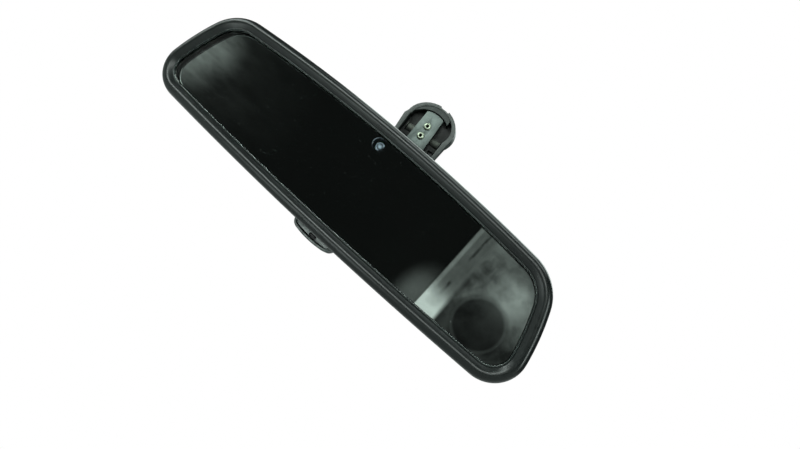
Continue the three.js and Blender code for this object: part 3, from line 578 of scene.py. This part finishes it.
lens_front, lens_back = sensor_low.y, sensor_high.y
lens = turned("glare_sensor_lens", [
    (0.0, lens_front + 0.02), (0.45, lens_front + 0.07), (0.9, lens_front + 0.24),
    (1.3, lens_front + 0.55), (1.6, lens_front + 0.98), (1.72, lens_front + 1.5),
    (1.75, lens_front + 1.75), (2.35, lens_front + 1.8), (2.4, lens_front + 1.95),
    (2.4, lens_back - 0.02), (0.0, lens_back - 0.01),
], 0, sensor_z)
place(lens, "head", SENSOR_LENS, "clear_lens", "glare_sensor")

# ------------------------------------------------------------------ rear housing

# crown and hollow are (share of the outline, y), and the others are (inset, y)
CROWN_INSET, HOLLOW_INSET = 12.5, 14.3
rim = [(0.5, 12.32), (2.25, 12.32), (2.25, 9.85), (4.2, 9.85)]
crown = smooth_line([(0.05, 31.0), (0.22, 30.7), (0.42, 29.8), (0.66, 28.4), (0.86, 27.1),
                     (0.97, 26.2)])
shoulder = smooth_line([(CROWN_INSET, 25.95), (8.6, 24.5), (5.1, 22.2), (2.7, 19.4), (1.2, 16.4),
                        (0.55, 13.6), (0.5, 12.5)])
inner_wall = [(4.2, 14.2), (4.9, 17.6), (7.1, 20.7), (10.2, 22.7), (HOLLOW_INSET, 24.2)]
hollow = [(0.86, 25.2), (0.66, 26.5), (0.42, 27.9), (0.22, 28.7), (0.05, 29.0)]
rings = [head_ring(CROWN_INSET, p.y, p.x) for p in crown]
rings += [head_ring(p.x, p.y) for p in shoulder]
rings += [head_ring(inset, y) for inset, y in rim + inner_wall]
rings += [head_ring(HOLLOW_INSET, y, scale) for scale, y in hollow]
HOUSING_SHARP_DEG = 40
housing = loft("rear_housing_body", rings, sharp_deg=HOUSING_SHARP_DEG)

COLLAR_RADIUS, COLLAR_SEGMENTS = 16.0, 96
collar = turned("collar_tool", [
    (0, 27.3), (COLLAR_RADIUS + 0.9, 27.3), (COLLAR_RADIUS + 0.25, 28.4),
    (COLLAR_RADIUS, 29.4), (COLLAR_RADIUS, 30.7),
    (COLLAR_RADIUS - 0.22, 31.25), (COLLAR_RADIUS - 0.8, 31.55), (0, 31.6),
], 0, 0, COLLAR_SEGMENTS)

led_low, led_high = node_box_mm("indicator_lens")
LED_X, LED_Z = centre_xz(led_low, led_high)
CHIN_HALF, CHIN_TOP, CHIN_BOTTOM, CHIN_FRONT, CHIN_BACK = 14.1, -24.0, -39.5, 20.3, 29.0
CHIN_CORNER, CHIN_BOW, CHIN_LIP, CHIN_STEPS = 5.0, 60.0, 1.5, 12


def chin_edge(shrink):
    """Left side, round corner, bowed lower edge, round corner and right side."""
    bow_z = CHIN_BOTTOM + CHIN_BOW
    corner_x = CHIN_HALF - CHIN_CORNER
    corner_z = bow_z - math.sqrt((CHIN_BOW - CHIN_CORNER) ** 2 - corner_x ** 2)
    swing = math.degrees(math.atan2(corner_x, bow_z - corner_z))
    corner, bow = CHIN_CORNER - shrink, CHIN_BOW - shrink
    left = arc(-corner_x, corner_z, corner, corner, 180, 270 - swing, CHIN_STEPS)
    middle = arc(0, bow_z, bow, bow, 270 - swing, 270 + swing, CHIN_STEPS * 2)[1:-1]
    right = arc(corner_x, corner_z, corner, corner, 270 + swing, 360, CHIN_STEPS)
    return [(-CHIN_HALF + shrink, CHIN_TOP)] + left + middle + right + [(CHIN_HALF - shrink, CHIN_TOP)]


def chin_ring(shrink, y):
    return [spot(x, y, z) for x, z in chin_edge(shrink)]


chin_section = [
    (0.95, CHIN_FRONT), (0.45, CHIN_FRONT + 0.14), (0.12, CHIN_FRONT + 0.45), (0, CHIN_FRONT + 1.0),
    (0, CHIN_BACK - 1.6), (0.25, CHIN_BACK - 0.8), (0.8, CHIN_BACK - 0.25), (1.7, CHIN_BACK),
]
chin = loft("chin_tool", [chin_ring(shrink, y) for shrink, y in chin_section])
cut(housing, [collar, chin], "UNION")

# sloping face inside the lip of the chin, parted from the lip by a narrow line
recess = slab("recess_tool", chin_edge(CHIN_LIP), CHIN_FRONT - 1, CHIN_FRONT + 3)
slope = [(CHIN_FRONT - 2, -20), (CHIN_FRONT - 2, -40), (CHIN_FRONT + 1.6, -40),
         (CHIN_FRONT + 1.6, -38.3), (CHIN_FRONT + 0.85, -36.2), (CHIN_FRONT + 0.4, -33.5),
         (CHIN_FRONT + 0.4, -20)]
wedge = loft("wedge_tool", [[spot(x, y, z) for y, z in slope] for x in (-20, 20)])
cut(recess, [wedge], "INTERSECT")
groove_edge = chin_edge(CHIN_LIP - 0.05)[1:-1] + chin_edge(CHIN_LIP + 0.4)[-2:0:-1]
groove = slab("groove_tool", groove_edge, CHIN_FRONT - 1, CHIN_FRONT + 2.1)
lens_edge = arc(LED_X, LED_Z, 2.5, 1.5, 0, 352, 44)
lens_hole = slab("lens_tool", lens_edge, CHIN_FRONT - 1, CHIN_FRONT + 3.4)
neck_sides = [(0, 22), (12.6, 22), (12.6, 31.0), (13.3, 32), (0, 32)]
neck_hole = turned("neck_tool", neck_sides, 0, 0, COLLAR_SEGMENTS)
guide_low, guide_high = node_box_mm("forward_light_guide")
guide_x, guide_z = centre_xz(guide_low, guide_high)
GUIDE_HOLE_RADIUS = 3.95
guide_sides = [(0, 25), (GUIDE_HOLE_RADIUS, 25), (GUIDE_HOLE_RADIUS, 34), (0, 34)]
guide_hole = turned("guide_tool", guide_sides, guide_x, guide_z)
plug_low, plug_high = node_box_mm("plug_socket")
PLUG_GAP = 0.5
plug_left, plug_right = plug_low.x - PLUG_GAP, plug_high.x + PLUG_GAP
plug_bottom, plug_top = plug_low.z - PLUG_GAP, plug_high.z + PLUG_GAP
plug_edge = [(plug_left, plug_bottom), (plug_right, plug_bottom),
             (plug_right, plug_top), (plug_left, plug_top)]
plug_hole = slab("plug_tool", plug_edge, plug_high.y - 2, plug_high.y + 10)
cut(housing, [recess, groove, lens_hole, neck_hole, guide_hole, plug_hole])
edge = housing.modifiers.new("edge", "BEVEL")
edge.width = 0.22 * MM
edge.segments = 2
edge.limit_method = "ANGLE"
edge.angle_limit = math.radians(50)
bake(housing, HOUSING_SHARP_DEG)
place(housing, "head", BLACK_HOUSING, "housing_plastic", "rear_housing")

# ------------------------------------------------------------------ lenses and plug

finer("indicator_lens", "indicator_lens_body", 0.2, "head", SMOKED_LENS, "smoked_lens")
finer("forward_light_guide", "light_guide_body", 0.2, "head", SMOKED_LENS, "smoked_lens")
finer("plug_socket", "plug_socket_body", 0.2, "head", INNER_PLASTIC, "carrier_plastic")
for number in range(1, 5):
    pin = f"plug_pin_{number}"
    finer(pin, f"{pin}_body", 0.12, "head", CONTACT_METAL, "contact_metal")
finer("socket_retainer", "socket_retainer_body", 0.15, "head", INNER_PLASTIC, "carrier_plastic")

# ------------------------------------------------------------------ foot and arm

finer("foot_shell", "foot_shell_body", 0.3, "foot", FOOT_PLASTIC, "foot_plastic")
finer("arm_cover", "arm_cover_body", 0.2, "foot", BLACK_HOUSING, "housing_plastic")
finer("ball_stud", "ball_stud_body", 0.25, "foot", STEEL, "steel")
finer("spring_plate", "spring_plate_body", 0.24, "foot", SPRING_STEEL, "spring_steel")
finer("button_clip", "button_clip_body", 0.12, "foot", CLIP_STEEL, "spring_steel")

RIVET_SEGMENTS = 56


def hollow_rivet(node):
    low, high = node_box_mm(node)
    x, z = centre_xz(low, high)
    front, back = low.y, high.y
    section = [
        (0.80, back), (0.80, front + 0.62), (0.86, front + 0.3), (1.05, front + 0.09),
        (1.32, front + 0.01), (1.62, front + 0.03), (1.95, front + 0.13), (2.22, front + 0.28),
        (2.37, front + 0.44), (2.38, front + 0.56), (2.2, front + 0.6), (1.3, front + 0.6), (1.3, back),
    ]
    rings = [circle(x, y, z, r, RIVET_SEGMENTS) for r, y in section]
    rivet = loft(f"{node}_body", rings, closed=True, sharp_deg=45)
    place(rivet, "foot", RIVET_METAL, "rivet_metal", node)


for number in (1, 2):
    hollow_rivet(f"hollow_rivet_{number}")

# ------------------------------------------------------------------ finish of the CAD nodes

FINISH = {
    "seal": SEAL_RUBBER, "contact_metal": CONTACT_METAL, "foam": FOAM,
    "carrier_plastic": INNER_PLASTIC, "board": BOARD_GREEN, "steel": STEEL,
    "clear_lens": CLEAR_LENS, "smoked_lens": SMOKED_LENS, "chip": CHIP_EPOXY,
    "aluminium_can": CAST_METAL, "led": LED_PLASTIC, "cast_metal": CAST_METAL,
    "liner": LINER_PLASTIC, "housing_plastic": BLACK_HOUSING, "foot_plastic": FOOT_PLASTIC,
    "bezel_plastic": BLACK_BEZEL, "spring_steel": SPRING_STEEL, "rivet_metal": RIVET_METAL,
    "front_glass": GLASS, "reflector": COATING,
}
for part in frame["record"]["subparts"]:
    node = frame["nodes"][part["node"]]
    node.data.materials.clear()
    node.data.materials.append(FINISH[part["material_slot"]])

# ------------------------------------------------------------------ stage, light and camera

scene = bpy.context.scene
scene.view_settings.view_transform = "Standard"
scene.view_settings.look = "None"


def panel(name, corners, material):
    mesh = bpy.data.meshes.new(name)
    mesh.from_pydata([tuple(c) for c in corners], [], [(0, 1, 2, 3)])
    obj = bpy.data.objects.new(name, mesh)
    scene.collection.objects.link(obj)
    mesh.materials.append(material)
    return obj


# pale floor: plain white to the camera, a matte grey to everything else, open from below
floor_paint = bpy.data.materials.new("floor_paint")
floor_paint.use_nodes = True
tree = floor_paint.node_tree
tree.nodes.clear()
ray = tree.nodes.new("ShaderNodeLightPath")
side = tree.nodes.new("ShaderNodeNewGeometry")
matte = tree.nodes.new("ShaderNodeBsdfDiffuse")
matte.inputs["Color"].default_value = (0.5, 0.5, 0.5, 1)
white = tree.nodes.new("ShaderNodeEmission")
clear = tree.nodes.new("ShaderNodeBsdfTransparent")
shown = tree.nodes.new("ShaderNodeMixShader")
through = tree.nodes.new("ShaderNodeMixShader")
out = tree.nodes.new("ShaderNodeOutputMaterial")
tree.links.new(ray.outputs["Is Camera Ray"], shown.inputs[0])
tree.links.new(matte.outputs[0], shown.inputs[1])
tree.links.new(white.outputs[0], shown.inputs[2])
tree.links.new(side.outputs["Backfacing"], through.inputs[0])
tree.links.new(shown.outputs[0], through.inputs[1])
tree.links.new(clear.outputs[0], through.inputs[2])
tree.links.new(through.outputs[0], out.inputs["Surface"])
FLOOR_Z = -75
FLOOR_HALF = 2500
floor_corners = [spot(x * FLOOR_HALF, y * FLOOR_HALF, FLOOR_Z)
                 for x, y in ((-1, -1), (1, -1), (1, 1), (-1, 1))]
floor = panel("floor", floor_corners, floor_paint)
floor.visible_shadow = False

# white surroundings
world = bpy.data.worlds.new("surroundings")
scene.world = world
world.use_nodes = True
tree = world.node_tree
tree.nodes.clear()
ray = tree.nodes.new("ShaderNodeLightPath")
seen = tree.nodes.new("ShaderNodeBackground")
seen.inputs["Color"].default_value = (1, 1, 1, 1)
lit = tree.nodes.new("ShaderNodeBackground")
lit.inputs["Color"].default_value = (0.86, 0.98, 0.94, 1)
lit.inputs["Strength"].default_value = 0.055
pick = tree.nodes.new("ShaderNodeMixShader")
out = tree.nodes.new("ShaderNodeOutputWorld")
tree.links.new(ray.outputs["Is Camera Ray"], pick.inputs[0])
tree.links.new(lit.outputs[0], pick.inputs[1])
tree.links.new(seen.outputs[0], pick.inputs[2])
tree.links.new(pick.outputs[0], out.inputs["Surface"])

# dark room in front of the glass, seen only as a reflection: a pale haze at the far left, an upright
# pale strip, a soft glow beside its foot and a mottled grey end with a dark round patch. The bright
# band is above what the glass sees at rest, and gives the rounded front of the bezel its highlight.
ROOM_Y = -500


def room_material():
    m = Nodes("room")
    place_mm = m.mapped((1 / MM, 1 / MM, 1 / MM))
    parts = m.add("ShaderNodeSeparateXYZ")
    m.link(place_mm, parts.inputs["Vector"])
    x, z = parts.outputs["X"], parts.outputs["Z"]

    def soft(source, low, high, out_low, out_high):
        result = m.spread(source, low, high, out_low, out_high)
        result.node.interpolation_type = "SMOOTHSTEP"
        return result

    def patch(px, pz, rx, rz):
        """An oval that falls from 1 in its middle to 0 at its edge."""
        mapping = m.add("ShaderNodeMapping")
        mapping.inputs["Location"].default_value = (-px / rx, 0, -pz / rz)
        mapping.inputs["Scale"].default_value = (1 / MM / rx, 0, 1 / MM / rz)
        m.link(m.coords, mapping.inputs["Vector"])
        ball = m.add("ShaderNodeTexGradient", gradient_type="SPHERICAL")
        m.link(mapping.outputs["Vector"], ball.inputs["Vector"])
        return ball.outputs["Fac"]

    def total(*terms):
        result = terms[0]
        for term in terms[1:]:
            result = m.math("ADD", result, term)
        return result

    def product(*terms):
        result = terms[0]
        for term in terms[1:]:
            result = m.math("MULTIPLY", result, term)
        return result

    mottle = m.noise(14, 5, 0.6)
    fine = m.noise(42, 4, 0.6)
    streaks = m.spread(m.noise(26, 5, 0.62, (0.45, 1, 1.5)), 0.34, 0.66, 0.35, 1.25)
    haze = product(total(soft(patch(-625, 30, 190, 120), 0.0, 0.8, 0.0, 0.58),
                         soft(patch(-600, 20, 330, 190), 0.0, 0.8, 0.0, 0.024)), streaks)
    inside_strip = product(soft(x, 11, 14, 0.0, 1.0), soft(x, 40, 50, 1.0, 0.0))
    bright_edge = product(soft(x, 11, 13, 0.0, 1.0), soft(x, 17, 20, 1.0, 0.0), 0.12)
    dashes = product(soft(x, 27, 29, 0.0, 1.0), soft(x, 31, 33, 1.0, 0.0),
                     soft(fine, 0.46, 0.56, 0.0, 0.09))
    strip_light = total(soft(z, 8, -48, 0.13, 1.25), bright_edge, product(dashes, -1.0))
    strip = product(inside_strip, strip_light, m.spread(fine, 0.3, 0.7, 0.75, 1.2))
    glow = product(soft(patch(8, -40, 44, 66), 0.0, 0.9, 0.0, 0.16), soft(x, 18, 8, 0.0, 1.0),
                   m.spread(mottle, 0.35, 0.65, 0.5, 1.1))
    end = product(soft(x, 38, 52, 0.0, 1.0), soft(z, -50, 60, 0.25, 1.0),
                  soft(mottle, 0.38, 0.66, 0.03, 0.26))
    pale = product(soft(patch(104, 52, 44, 50), 0.0, 0.8, 0.0, 0.26), soft(fine, 0.3, 0.6, 0.5, 1.0))
    round_patch = patch(97, -9, 52, 52)
    dark = soft(round_patch, 0.12, 0.35, 1.0, 0.22)
    ring = product(soft(round_patch, 0.22, 0.28, 0.0, 1.0), soft(round_patch, 0.3, 0.36, 1.0, 0.0), 0.03)
    band = product(soft(z, 145, 180, 0.0, 4.0), soft(z, 300, 360, 1.0, 0.0))
    brightness = total(0.0085, band, haze, strip, glow, product(total(end, pale), dark), ring)
    color = m.ramp(brightness, [(0.0, (0, 0, 0)), (1.0, (0.92, 1.0, 0.96))])
    m.tree.nodes.remove(m.shader)
    shine = m.add("ShaderNodeEmission")
    m.link(color, shine.inputs["Color"])
    m.link(total(1.0, band), shine.inputs["Strength"])
    m.link(shine.outputs[0], m.tree.nodes["Material Output"].inputs["Surface"])
    return m.material


ROOM = [(-680, -140), (290, -140), (290, 370), (-680, 370)]
room = panel("room", [Vector((x, 0, z)) * MM for x, z in ROOM], room_material())
room.location = spot(0, ROOM_Y, 0)
room.visible_camera = False
room.visible_diffuse = False
room.visible_shadow = False

COOL = (0.88, 1.0, 0.96)
LIGHT_TARGET = spot(0, 15, 10)
# place, width and height in millimetres, and power in watts
LIGHTS = {
    "key": ((-190, -470, 280), 1000, 60, 2.0),
    "top": ((0, -60, 640), 700, 200, 2.0),
    "low": ((-190, -470, -300), 900, 100, 0.4),
    "side": ((620, -220, 200), 140, 400, 1.4),
    "left": ((-640, -200, 200), 120, 400, 1.2),
    "chin_glow": ((-140, -330, -255), 130, 50, 0.5),
    "back": ((0, 600, 500), 800, 500, 3.0),
}
for name, (where, width, height, power) in LIGHTS.items():
    data = bpy.data.lights.new(name, "AREA")
    data.shape = "RECTANGLE"
    data.size = width * MM
    data.size_y = height * MM
    data.energy = power
    data.color = COOL
    light = bpy.data.objects.new(name, data)
    scene.collection.objects.link(light)
    light.location = spot(*where)
    light.rotation_mode = "QUATERNION"
    light.rotation_quaternion = (LIGHT_TARGET - light.location).to_track_quat("-Z", "Y")

# camera, solved from the outline of the head in the photograph
SENSOR_WIDTH, FOCAL_LENGTH = 36, 24.163
CAMERA_SPOT = (95.33, -253.285, -14.09)
camera_data = bpy.data.cameras.new("camera")
camera_data.sensor_width = SENSOR_WIDTH
camera_data.lens = FOCAL_LENGTH
camera_data.clip_start = 10 * MM
camera = bpy.data.objects.new("camera", camera_data)
scene.collection.objects.link(camera)
# directions to the right of the picture and into it
right = Vector((0.729, 0.1349, 0.6711)).normalized()
ahead = Vector((-0.2243, 0.9733, 0.048)).normalized()
up = right.cross(ahead)
turn = Matrix((right, up, -ahead)).transposed().to_4x4()
camera.matrix_world = Matrix.Translation(spot(*CAMERA_SPOT)) @ turn
scene.camera = camera
